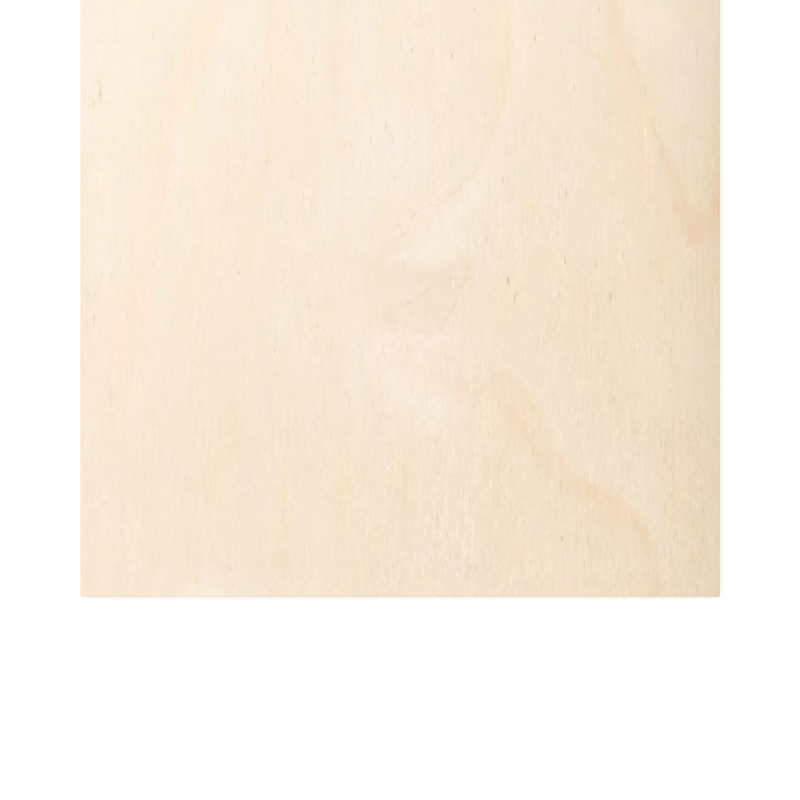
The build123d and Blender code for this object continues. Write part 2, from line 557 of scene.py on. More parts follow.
        Tone.RUST: [
            (-140.5, -62.5, 0.9, 4.5, 0.8), (50.7, -150.5, 1, 4, 0.3), (99, -159, 1.2, 3, 0.4),
        ],
        Tone.SHADE: [
            (120, -120, 9, 26, 0.25), (97, -74, 8, 18, 0.25), (98, -161, 7, 7, 0.2),
            # The streaks at x -151 and 150.5 are painted shade along the sheet's left and right rims.
            (132, -228, 8, 10, 0.2), (137, -56, 8, 22, 0.3), (-151, -140, 2, 90, 0.3),
            (150.5, -160, 0.8, 150, 0.3), (148.5, -85, 2.5, 25, 0.3),
        ],
    }.items()
    for row in rows
]

BARK_FLECKS = [
    Fleck(*row)
    for row in [
        (-140.6, -62.8, 1.2, 10.0, 0.6), (-143.8, -68.0, 1.0, 7.0, 0.38), (50.7, -151.5, 0.75, 4.8, 1.0),
        (53.7, -159.8, 0.7, 5.0, 0.9), (98.9, -159.0, 1.2, 5.5, 0.4), (77.8, -110.5, 0.8, 9.0, 0.5),
        (48.2, -104.4, 0.8, 5.0, 0.57), (76.0, -273.0, 0.9, 4.0, 0.88), (88.3, -274.2, 1.0, 7.0, 0.5),
        (-143.4, -170.0, 0.9, 7.0, 0.5), (-58.6, -184.2, 0.8, 6.0, 0.48), (-75.5, -148.0, 0.8, 2.4, 0.6),
        (5.7, -44.0, 0.8, 3.0, 0.48), (24.4, -46.5, 0.7, 4.4, 0.62), (63.3, -38.2, 0.8, 6.0, 0.58),
        (39.9, -73.5, 0.7, 5.0, 0.36), (81.7, -60.7, 0.8, 7.0, 0.3), (93.4, -24.6, 1.0, 6.0, 0.48),
        (35.0, -24.7, 1.2, 2.5, 0.45), (74.1, -122.0, 0.8, 2.5, 0.38), (129.5, -270.9, 0.8, 3.0, 0.5),
        (-97.0, -190.2, 0.8, 2.0, 0.27), (-102.6, -209.1, 0.8, 2.5, 0.3), (-35.1, -203.8, 0.7, 3.0, 0.25),
        (38.7, -120.4, 0.9, 2.4, 0.35), (41.0, -132.7, 0.8, 2.8, 0.4), (77.3, -142.8, 0.9, 4.0, 0.8),
        (91.8, -143.9, 1.0, 4.5, 0.42), (1.6, -143.3, 1.0, 2.6, 0.4), (139.2, -43.8, 0.8, 3.5, 0.3),
        (109.6, -84.0, 0.7, 3.0, 0.25), (57.2, -155.4, 0.8, 3.0, 0.32), (45.2, -148.6, 0.9, 3.0, 0.2),
        (71.2, -93.2, 0.7, 4.0, 0.25), (-50.0, -221.8, 0.8, 3.0, 0.25), (-37.0, -241.0, 0.8, 2.5, 0.25),
        (-84.3, -133.4, 0.7, 5.0, 0.2), (-79.2, -133.8, 0.7, 4.0, 0.25), (-30.1, -51.0, 0.8, 3.5, 0.2),
        (-94.6, -140.0, 0.7, 3.0, 0.25), (62.6, -232.2, 1.4, 3.5, 0.2), (34.0, -233.5, 0.9, 4.0, 0.25),
        (50.8, -243.5, 1.0, 3.5, 0.2), (65.5, -244.0, 0.9, 3.0, 0.25), (70.3, -271.2, 1.2, 2.5, 0.3),
        (42.6, -286.0, 1.2, 4.0, 0.25), (75.4, -249.0, 1.2, 3.0, 0.25),
    ]
]


def share_between(places: np.ndarray, ends: Pair) -> np.ndarray:
    """Measures how far places lie from one end of a stretch to the other.

    Args:
        places: the places along one axis.
        ends: where the stretch starts and where it ends.

    Returns:
        0 before the start, 1 past the end, and the share between them.
    """
    start, end = ends
    return np.clip((places - start) / (end - start), 0, 1)


def between_corners(right: np.ndarray, near: np.ndarray, corners: Sequence[Any]) -> np.ndarray:
    """Blends what the four corners of an area have.

    Args:
        right: how far each place lies from the left to the right side, from 0 to 1.
        near: how far it lies from the far to the near side, from 0 to 1.
        corners: the values of the far left, far right, near left and near right corner.

    Returns:
        The value of each place.
    """
    far_left, far_right, near_left, near_right = corners
    far_value = (1 - right) * far_left + right * far_right
    near_value = (1 - right) * near_left + right * near_right
    return (1 - near) * far_value + near * near_value


@dataclass(frozen=True)
class FaceFigure:
    """The figure of the sheet's good face: its tones, with painted shade and sheen among them, ring edges,
    specks and the way its fibres run.

    It is worked out at the places x and y, which lie across and along the grain. Places and sizes are in
    millimetres, and a pair is the least and the most of what is drawn at random, or where something starts
    and ends. What has four values has them for the far left, far right, near left and near right corner.
    """

    x: np.ndarray
    y: np.ndarray
    half_width: float = 150.0
    half_length: float = 300.0
    # Lighter at the far left and darker at the near right: partly the wood's own tone, partly painted falloff
    # of the lamp's light from the far left.
    ground: tuple[str, ...] = ("#F6E9D9", "#F2E0C7", "#F5E3CF", "#EFDDC2")
    ground_y: Pair = (-20.0, -300.0)
    fade_power: float = 1.5

    # Waves that streaks are moved by
    stray: float = 0.4
    stray_waves: int = 12
    stray_across: Pair = (5.0, 14.0)
    stray_along: Pair = (7.0, 26.0)
    stray_seed: int = 8

    # Streaks of the half that the photograph doesn't show
    unseen_count: int = 90
    unseen_tones: tuple[Tone, ...] = (Tone.PEACH, Tone.OLIVE, Tone.BLUISH, Tone.GREENISH, Tone.PINKISH)
    unseen_half_width: Pair = (2.0, 7.0)
    unseen_half_length: Pair = (8.0, 34.0)
    unseen_strength: Pair = (0.5, 1.1)
    unseen_mm_per_degree: float = 30.0
    unseen_seed: int = 12

    # How far from a line or a speck the mesh carries it, and a place that is outside every speck
    hairline_reach: float = 4.0
    fleck_reach: float = 5.0
    outside: float = 20.0

    # Small specks scattered clear of the listed ones
    scattered_tries: int = 2400
    scattered_margin: float = 5.0
    scattered_width: Pair = (0.5, 0.8)
    scattered_length: Pair = (2.0, 6.0)
    scattered_strength: Pair = (0.05, 0.33)
    scattered_clearance: Pair = (6.0, 14.0)
    scattered_seed: int = 5

    # The knot that the fibres pass round, and the calm wood beside it
    knot_x: float = 11.7
    knot_y: float = -158.4
    knot_reach: float = 30.0
    knot_bulge: float = 0.12
    calm_y: float = -150.4
    calm_reach: float = 22.0
    calm: float = 0.65

    # How strongly the fine grain shows
    grain: tuple[float, ...] = (0.44, 0.64, 0.64, 1.1)
    grain_x: Pair = (-60.0, 20.0)
    grain_y: Pair = (-60.0, -220.0)

    def colours(self) -> np.ndarray:
        """The wood's colour before its ring edges and fine grain, with its painted shade and sheen.

        Returns:
            One row of linear red, green and blue for each place.
        """
        right = share_between(self.x, (-self.half_width, self.half_width))[:, None]
        near = share_between(self.y, self.ground_y)[:, None]
        colour = between_corners(right, near, [np.array(linear(corner)) for corner in self.ground])
        strayed = self.strayed()
        for streak in STREAKS + BANDS + self.unseen_streaks():
            colour = colour * tinted(streak.tone, streak.mask(strayed, self.y))
        return colour

    def strayed(self) -> np.ndarray:
        """Moves places a little across the grain, so that no streak has a smooth rim.

        Returns:
            The moved places across the grain.
        """
        chance = np.random.default_rng(self.stray_seed)
        moved = self.x
        for _ in range(self.stray_waves):
            across, along = chance.uniform(*self.stray_across), chance.uniform(*self.stray_along)
            turns = self.x / across + self.y / along + chance.uniform(0, 1)
            moved = moved + self.stray * np.sin(2 * math.pi * turns)
        return moved

    def unseen_streaks(self) -> list[Streak]:
        """Scatters streaks over the far half, which the photograph doesn't show, from a fixed seed.

        Returns:
            The streaks.
        """
        chance = np.random.default_rng(self.unseen_seed)
        streaks = []
        for number in range(self.unseen_count):
            tone = self.unseen_tones[number % len(self.unseen_tones)]
            x, y = chance.uniform(-self.half_width, self.half_width), chance.uniform(0, self.half_length)
            sizes = chance.uniform(*self.unseen_half_width), chance.uniform(*self.unseen_half_length)
            strength = chance.uniform(*self.unseen_strength)
            streaks.append(Streak(tone, x, y, *sizes, strength, x / self.unseen_mm_per_degree))
        return streaks

    def ring_edges(self) -> Fields:
        """The ring edges as fields that the material sharpens.

        Returns:
            Fields by name: how far across the nearest ring edge's softness each place lies, and the tint of
            the wood on each side.
        """
        nearest = np.full(self.x.shape, np.inf)
        fields = {
            "ring_edge": np.zeros(self.x.shape),
            "latewood_tint": np.ones((len(self.x), 3)),
            "earlywood_tint": np.ones((len(self.x), 3)),
        }
        for line in GROWTH_LINES:
            offset, strength = nearest_on_path(line.points, self.x, self.y)
            distance = np.abs(offset)
            late = strength * 0.5 ** (distance / line.latewood_width) ** self.fade_power
            early = strength * 0.5 ** (distance / line.earlywood_width) ** self.fade_power
            nearer = distance < nearest
            nearest = np.where(nearer, distance, nearest)
            fields["ring_edge"][nearer] = offset[nearer] / line.softness
            fields["latewood_tint"][nearer] = tinted(line.latewood, late)[nearer]
            fields["earlywood_tint"][nearer] = tinted(line.earlywood, line.earlywood_share * early)[nearer]
        return fields

    def hairlines(self) -> Fields:
        """Each thin line as a distance and a strength that is 0 away from it.

        Returns:
            Fields by name.
        """
        fields = {}
        for number, line in enumerate(HAIRLINES):
            offset, strength = nearest_on_path(line.points, self.x, self.y)
            fields[f"hairline_{number}_mm"] = offset
            fields[f"hairline_{number}_strength"] = strength * (np.abs(offset) < self.hairline_reach)
        return fields

    def flecks(self) -> Fields:
        """Where each place lies in the speck nearest to it.

        Returns:
            Fields by name: the place, measured so that a speck's rim is 1 from its middle, and the strength.
        """
        fields = {
            "speck_place": np.full((len(self.x), 3), self.outside),
            "speck_strength": np.zeros(self.x.shape),
        }
        for fleck in self.all_flecks():
            beside = np.abs(self.x - fleck.x) < self.fleck_reach / 2
            near = beside & (np.abs(self.y - fleck.y) < self.fleck_reach + fleck.length / 2)
            across = (self.x[near] - fleck.x) / (fleck.width / 2)
            along = (self.y[near] - fleck.y) / (fleck.length / 2)
            fields["speck_place"][near] = np.stack([across, along, np.zeros(across.shape)], axis=1)
            fields["speck_strength"][near] = fleck.strength
        return fields

    def all_flecks(self) -> list[Fleck]:
        """Scatters small faint specks clear of the listed ones, from a fixed seed.

        Returns:
            Both kinds.
        """
        chance = np.random.default_rng(self.scattered_seed)
        last_x, last_y = self.half_width - self.scattered_margin, self.half_length - self.scattered_margin
        weakest, strongest = self.scattered_strength
        clear_x, clear_y = self.scattered_clearance
        flecks = list(BARK_FLECKS)
        for _ in range(self.scattered_tries):
            x, y = chance.uniform(-last_x, last_x), chance.uniform(-last_y, last_y)
            sizes = chance.uniform(*self.scattered_width), chance.uniform(*self.scattered_length)
            strength = weakest + (strongest - weakest) * chance.uniform(0, 1) ** 3
            if all(abs(x - other.x) > clear_x or abs(y - other.y) > clear_y for other in flecks):
                flecks.append(Fleck(x, y, *sizes, strength))
        return flecks

    def nearness_to_knot(self, middle_y: float, reach: float) -> np.ndarray:
        """How near each place is to the knot.

        Args:
            middle_y: what is taken as the knot's place along the grain.
            reach: how far from it the nearness has fallen by half.

        Returns:
            The nearness, from 0 far away to 1 at the middle.
        """
        return 0.5 ** (((self.x - self.knot_x) ** 2 + (self.y - middle_y) ** 2) / reach**2)

    def fibres(self) -> np.ndarray:
        """Places measured across and along the fibres, which part to pass round the knot.

        Returns:
            One row of across, along and 0 for each place.
        """
        bulge = self.knot_bulge * self.nearness_to_knot(self.knot_y, self.knot_reach)
        across = self.knot_x + (self.x - self.knot_x) * (1 - bulge)
        return np.stack([across, self.y, np.zeros(self.x.shape)], axis=1)

    def grain_strength(self) -> np.ndarray:
        """How strongly the fine grain shows: least at the far left, most at the near right.

        Returns:
            Each place's strength, about 1 where the grain is strongest.
        """
        right, near = share_between(self.x, self.grain_x), share_between(self.y, self.grain_y)
        calm = self.calm * self.nearness_to_knot(self.calm_y, self.calm_reach)
        return between_corners(right, near, self.grain) * (1 - calm)


def in_cells(tree: Tree, place: Socket, width: float, length: float, seed: float = 0.0) -> Socket:
    """Counts places in cells of one size instead of in millimetres.

    Args:
        tree: the material's node tree.
        place: millimetres across and along the grain.
        width: a cell's width in millimetres.
        length: its length in millimetres.
        seed: how many cells everything is moved by, so that no two patterns are alike.

    Returns:
        The places.
    """
    cells = (1 / width, 1 / length, 0.0)
    return add_node(tree, "VectorMath", (place, cells, (seed, seed, seed)), operation="MULTIPLY_ADD")


@dataclass(frozen=True)
class GrainNoise:
    """Noise with spots of one width and length in millimetres, which are stretched along the grain.

    The seed tells it from a material's other noises. The detail is how many finer noises are added to it.
    """

    width: float
    length: float
    seed: float = 0.0
    detail: float = 0.0

    def add(self, tree: Tree, place: Socket, output: str | None = None) -> Socket:
        """Adds the noise to a material.

        Args:
            tree: the material's node tree.
            place: millimetres across and along the grain.
            output: "Color" for three noises in one, or None for a single one.

        Returns:
            The noise, from 0 to 1.
        """
        cells = in_cells(tree, place, self.width, self.length, self.seed)
        return add_node(tree, "TexNoise", {"Vector": cells, "Scale": 1.0, "Detail": self.detail}, output)


@dataclass(frozen=True)
class GrainLayer:
    """Soft streaks of one size in millimetres, and how far they change the wood's light and hue."""

    width: float
    length: float
    light: float
    warmth: float
    green: float
    light_hue: Triple = (0.92, 1.0, 1.15)
    warm_hue: Triple = (0.3, -0.2, -1.0)
    green_hue: Triple = (-0.5, 0.5, -0.3)

    def hues(self) -> list[Triple]:
        """The red, green and blue changes of the layer's three kinds of streak."""
        kinds = [(self.light, self.light_hue), (self.warmth, self.warm_hue), (self.green, self.green_hue)]
        return [tuple(amount * channel for channel in hue) for amount, hue in kinds]

    def add(self, tree: Tree, place: Socket, total: Socket | Triple, seed: float) -> Socket:
        """Adds the layer to the changes so far.

        Args:
            tree: the material's node tree.
            place: millimetres across and along the fibres.
            total: the changes so far, 0 for none.
            seed: what tells this layer's streaks from another's.

        Returns:
            The changes with this layer's.
        """
        noise = GrainNoise(self.width, self.length, seed).add(tree, place, "Color")
        centred = add_node(tree, "VectorMath", (noise, (0.5, 0.5, 0.5)), operation="SUBTRACT")
        parts = add_node(tree, "SeparateXYZ", (centred,)).node.outputs
        for part, hue in zip(parts, self.hues()):
            total = add_node(tree, "VectorMath", (part, hue, total), operation="MULTIPLY_ADD")
        return total


@dataclass(frozen=True)
class DashLayer:
    """Short separate dashes along the grain, darker than the wood, or paler where dark is under 0.

    They are the wood's vessels, cut open lengthwise. A vessel is 0.1 mm wide. The dashes are drawn wider, as
    a picture of a whole sheet shows them. A cell's sizes are in millimetres, and the share of the cells that
    is given holds one dash each. Core and rim are shares of a cell.
    """

    width: float
    length: float
    share: float
    dark: float
    core: float = 0.04
    rim: float = 0.3
    hue: Triple = (0.85, 1.0, 1.15)

    def add(self, tree: Tree, place: Socket, total: Socket | Triple, seed: float) -> Socket:
        """Adds the dashes to the changes so far.

        Args:
            tree: the material's node tree.
            place: millimetres across and along the fibres.
            total: the changes so far, 0 for none.
            seed: what tells this layer's dashes from another's.

        Returns:
            The changes with this layer's.
        """
        cells = in_cells(tree, place, self.width, self.length, seed)
        dash = add_node(
            tree, "TexVoronoi", {"Vector": cells, "Scale": 1.0}, "Distance", voronoi_dimensions="2D"
        )
        chance = add_node(tree, "SeparateXYZ", (dash.node.outputs["Color"],))
        change = add_node(tree, "MapRange", (chance, 1 - self.share, 1.0, 0.0, -self.dark))
        change = add_node(
            tree, "MapRange", (dash, self.core, self.rim, change, 0.0), interpolation_type="SMOOTHSTEP"
        )
        return add_node(tree, "VectorMath", (change, self.hue, total), operation="MULTIPLY_ADD")


@dataclass(frozen=True)
class BareWood:
    """What the sheet's finishes share: wood with no coat, so matt, and with a relief too fine to model.

    The depth of the relief is in metres.
    """

    name: str
    roughness: float
    relief_depth: float
    relief_strength: float
    ior: float = 1.5

    def end(self, tree: Tree, colour: Socket, roughness: Socket, relief: Socket) -> None:
        """Adds the wood's surface and ends the material with it.

        Args:
            tree: the material's node tree.
            colour: the wood's colour.
            roughness: how matt it is.
            relief: how high each place stands, from 0 to 1.
        """
        bump = {"Strength": self.relief_strength, "Distance": self.relief_depth, "Height": relief}
        surface = {"Base Color": colour, "Roughness": roughness, "IOR": self.ior}
        shader = add_node(tree, "BsdfPrincipled", {**surface, "Normal": add_node(tree, "Bump", bump)})
        add_node(tree, "OutputMaterial", {"Surface": shader})


@dataclass(frozen=True)
class RotaryVeneer(BareWood):
    """Bare birch veneer, peeled on a lathe, pressed flat and sanded along the grain.

    It gives the eye a pale cream ground with short, thin, slightly darker vessel lines that all run one
    way, soft lengthwise patches of warmer and cooler wood, and no gloss.

    A single fibre or vessel, 0.02 or 0.1 mm wide, is too thin to show in a picture of the whole sheet, so
    the fine streaks and pores are drawn coarser, at the size of bundles of them. The layers of a group
    have multiples of its seed, and a range is what the pair of values after it is spread over.
    """

    name: str = "birch_veneer_rotary_cut_sanded"
    roughness: float = 0.62
    relief_depth: float = 0.03 * MM
    relief_strength: float = 0.4
    roughness_swing: float = 0.1
    patches: tuple[GrainLayer, ...] = (
        GrainLayer(20.0, 110.0, 0.018, 0.022, 0.014),
        GrainLayer(8.0, 40.0, 0.022, 0.028, 0.018),
        GrainLayer(4.0, 8.0, 0.024, 0.055, 0.040),
    )
    patch_seed: float = 5.7
    fibres: tuple[GrainLayer | DashLayer, ...] = (
        GrainLayer(2.4, 9.0, 0.060, 0.050, 0.035),
        GrainLayer(1.3, 22.0, 0.055, 0.030, 0.020),
        GrainLayer(1.2, 3.4, 0.098, 0.030, 0.020),
        DashLayer(1.5, 9.0, 0.2, 0.14),
        DashLayer(1.6, 8.0, 0.2, -0.09),
    )
    fibre_seed: float = 11.3
    clusters: GrainNoise = GrainNoise(12.0, 36.0, 6.1)
    cluster_range: Pair = (0.3, 0.7)
    cluster_strength: Pair = (0.55, 1.45)
    pores: GrainNoise = GrainNoise(1.3, 6.0, 3.1)
    pore_rim: Pair = (0.55, 0.8)

    def finish(self, tree: Tree, colour: Socket, place: Socket, strength: Socket | float) -> None:
        """Adds the grain and the sanded surface to the veneer's figure.

        Args:
            tree: the material's node tree.
            colour: the figure.
            place: millimetres across and along the fibres.
            strength: how strongly the fine grain shows.
        """
        changes = (0.0, 0.0, 0.0)
        for number, layer in enumerate(self.fibres, start=1):
            changes = layer.add(tree, place, changes, number * self.fibre_seed)
        clusters = self.clusters.add(tree, place)
        clusters = add_node(tree, "MapRange", (clusters, *self.cluster_range, *self.cluster_strength))
        strength = add_node(tree, "Math", (clusters, strength), operation="MULTIPLY")
        changes = add_node(tree, "VectorMath", {0: changes, "Scale": strength}, operation="SCALE")
        for number, layer in enumerate(self.patches, start=1):
            changes = layer.add(tree, place, changes, number * self.patch_seed)
        colour = add_node(tree, "VectorMath", (colour, changes, colour), operation="MULTIPLY_ADD")

        pores = self.pores.add(tree, place)
        smoothest = self.roughness - self.roughness_swing / 2
        roughness = add_node(tree, "Math", (pores, self.roughness_swing, smoothest), operation="MULTIPLY_ADD")
        height = add_node(
            tree, "MapRange", (pores, *self.pore_rim, 1.0, 0.0), interpolation_type="SMOOTHSTEP"
        )
        self.end(tree, colour, roughness, height)


@dataclass(frozen=True)
class FaceVeneer(RotaryVeneer):
    """The good face. The mesh carries its figure, and this draws the edges, lines and specks of it sharply.

    A line comes out from its least share to the whole of it where the noise passes through line_shown,
    and its sizes are in millimetres. A speck's core and rim are measured so that its own rim is 1.
    """

    edge_noise: GrainNoise = GrainNoise(2.0, 9.0, 0.0, 2.0)
    edge_ragged: float = 2.6
    stray_noise: GrainNoise = GrainNoise(2.5, 4.0, 7.9, 1.0)
    line_stray: float = 2.4
    line_shown: Pair = (0.36, 0.62)
    line_least: float = 0.15
    line_half_width: float = 1.5
    speck_core: float = 0.6
    speck_rim: float = 1.7

    def ring_tint(self, tree: Tree, place: Socket) -> Socket:
        """The tint of latewood on one side of a ring edge and of earlywood on the other.

        Args:
            tree: the material's node tree.
            place: millimetres across and along the fibres.

        Returns:
            The tint.
        """
        wobble = self.edge_noise.add(tree, place)
        edge = add_node(tree, "Attribute", output="Fac", attribute_name="ring_edge")
        edge = add_node(tree, "Math", (wobble, self.edge_ragged, edge), operation="MULTIPLY_ADD")
        middle = self.edge_ragged / 2
        early = add_node(tree, "MapRange", (edge, middle - 1, middle + 1), interpolation_type="SMOOTHSTEP")
        late_tint = add_node(tree, "Attribute", output="Vector", attribute_name="latewood_tint")
        early_tint = add_node(tree, "Attribute", output="Vector", attribute_name="earlywood_tint")
        return add_node(tree, "Mix", {0: early, 4: late_tint, 5: early_tint}, data_type="VECTOR")

    def hairline_tints(self, tree: Tree, stray: Socket) -> list[Socket]:
        """The tints of the thin brown lines, which stray a little and show only in places.

        Args:
            tree: the material's node tree.
            stray: noise from 0 to 1.

        Returns:
            One tint for each line.
        """
        wobble = add_node(
            tree, "Math", (stray, self.line_stray, -self.line_stray / 2), operation="MULTIPLY_ADD"
        )
        shown = add_node(
            tree, "MapRange", (stray, *self.line_shown, self.line_least, 1.0), interpolation_type="SMOOTHSTEP"
        )
        tints = []
        for number in range(len(HAIRLINES)):
            name = f"hairline_{number}"
            distance = add_node(tree, "Attribute", output="Fac", attribute_name=f"{name}_mm")
            distance = add_node(tree, "Math", (distance, wobble), operation="ADD")
            distance = add_node(tree, "Math", (distance,), operation="ABSOLUTE")
            strength = add_node(tree, "Attribute", output="Fac", attribute_name=f"{name}_strength")
            fade = (distance, 0.0, self.line_half_width, strength, 0.0)
            share = add_node(tree, "MapRange", fade, interpolation_type="SMOOTHSTEP")
            share = add_node(tree, "Math", (share, shown), operation="MULTIPLY")
            ends = {4: UNTINTED, 5: tuple(Tone.RUST.tint())}
            tints.append(add_node(tree, "Mix", {0: share, **ends}, data_type="VECTOR"))
        return tints

    def speck_tint(self, tree: Tree, stray: Socket) -> Socket:
        """The tint of the dark specks.

        Args:
            tree: the material's node tree.
            stray: noise from 0 to 1 that roughens their rims.

        Returns:
            The tint.
        """
        place = add_node(tree, "Attribute", output="Vector", attribute_name="speck_place")
        reach = add_node(tree, "VectorMath", (place,), "Value", operation="LENGTH")
        reach = add_node(tree, "Math", (reach, stray), operation="ADD")
        strength = add_node(tree, "Attribute", output="Fac", attribute_name="speck_strength")
        fade = (reach, self.speck_core, self.speck_rim, strength, 0.0)
        share = add_node(tree, "MapRange", fade, interpolation_type="SMOOTHSTEP")
        ends = {4: UNTINTED, 5: tuple(Tone.BARK.tint())}
        return add_node(tree, "Mix", {0: share, **ends}, data_type="VECTOR")

    def build(self) -> bpy.types.Material:
        """Makes the material of the good face.

        Returns:
            The material.
        """
        material = start_material(self.name)
        tree = material.node_tree
        place = add_node(tree, "Attribute", output="Vector", attribute_name="fibre_mm")
        strength = add_node(tree, "Attribute", output="Fac", attribute_name="grain_strength")
        colour = add_node(tree, "Attribute", output="Vector", attribute_name="figure_with_painted_light")
        stray = self.stray_noise.add(tree, place)
        tints = [self.ring_tint(tree, place), self.speck_tint(tree, stray), *self.hairline_tints(tree, stray)]
        for tint in tints:
            colour = add_node(tree, "VectorMath", (colour, tint), operation="MULTIPLY")
        self.finish(tree, colour, place, strength)
        return material


@dataclass(frozen=True)
class BackVeneer(RotaryVeneer):
    """The back, peeled and sanded as the face is, but of a plainer grade.

    It gives the eye broad soft ring bands that run along the sheet, each darkest at its one crisp edge,
    and a few small tight knots among the same short vessel lines. A ring's late and end are shares of its
    width, and a knot's core and halo are shares of its cell.
    """

    name: str = "birch_veneer_back_grade_sanded"
    wood: str = "#F2E0C6"
    latewood: str = "#ECD4B0"
    knot: str = "#A9743C"
    ring_noise: GrainNoise = GrainNoise(90.0, 460.0, 2.3, 1.0)
    rings_per_spot: float = 9.0
    ring_ragged_noise: GrainNoise = GrainNoise(2.0, 9.0, 4.1, 2.0)
    ring_ragged: float = 0.16
    ring_late: Pair = (0.3, 0.95)
    ring_end: Pair = (0.93, 1.0)
    knot_cell: Pair = (120.0, 170.0)
    knot_ragged_noise: GrainNoise = GrainNoise(1.5, 3.0, 6.7, 1.0)
    knot_ragged: Triple = (1.6, 2.4, 0.0)
    knot_core: Pair = (0.006, 0.018)
    knot_core_share: float = 0.6
    knot_halo: Pair = (0.01, 0.07)
    knot_halo_share: float = 0.22
    grain_strength: float = 0.8

    def rings(self, tree: Tree, place: Socket) -> Socket:
        """How much latewood shows: it grows across each year ring and stops short at the ring's edge.

        Args:
            tree: the material's node tree.
            place: millimetres across and along the grain.

        Returns:
            The share, from 0 to 1.
        """
        year = self.ring_noise.add(tree, place)
        ragged = self.ring_ragged_noise.add(tree, place)
        ragged = add_node(tree, "Math", (ragged, self.ring_ragged), operation="MULTIPLY")
        year = add_node(tree, "Math", (year, self.rings_per_spot, ragged), operation="MULTIPLY_ADD")
        year = add_node(tree, "Math", (year,), operation="FRACT")
        late = add_node(tree, "MapRange", (year, *self.ring_late), interpolation_type="SMOOTHSTEP")
        left = add_node(tree, "MapRange", (year, *self.ring_end, 1.0, 0.0), interpolation_type="SMOOTHSTEP")
        return add_node(tree, "Math", (late, left), operation="MULTIPLY")

    def knots(self, tree: Tree, place: Socket) -> Socket:
        """How much of a knot's brown shows.

        Args:
            tree: the material's node tree.
            place: millimetres across and along the grain.

        Returns:
            The share, from 0 to 1.
        """
        ragged = self.knot_ragged_noise.add(tree, place, "Color")
        ragged = add_node(tree, "VectorMath", (ragged, self.knot_ragged, place), operation="MULTIPLY_ADD")
        cells = in_cells(tree, ragged, *self.knot_cell)
        distance = add_node(
            tree, "TexVoronoi", {"Vector": cells, "Scale": 1.0}, "Distance", voronoi_dimensions="2D"
        )
        core, halo = [
            add_node(tree, "MapRange", (distance, *rim, share, 0.0), interpolation_type="SMOOTHSTEP")
            for rim, share in [(self.knot_core, self.knot_core_share), (self.knot_halo, self.knot_halo_share)]
        ]
        return add_node(tree, "Math", (core, halo), operation="ADD")

    def build(self) -> bpy.types.Material:
        """Makes the material of the back.

        Returns:
            The material.
        """
        material = start_material(self.name)
        tree = material.node_tree
        place = add_node(tree, "TexCoord", output="Object")
        place = add_node(tree, "VectorMath", (place, (1 / MM, 1 / MM, 0.0)), operation="MULTIPLY")
        rings = {0: self.rings(tree, place), 4: linear(self.wood), 5: linear(self.latewood)}
        colour = add_node(tree, "Mix", rings, data_type="VECTOR")
        knots = {0: self.knots(tree, place), 4: colour, 5: linear(self.knot)}
        colour = add_node(tree, "Mix", knots, data_type="VECTOR")
        self.finish(tree, colour, place, self.grain_strength)
        return material


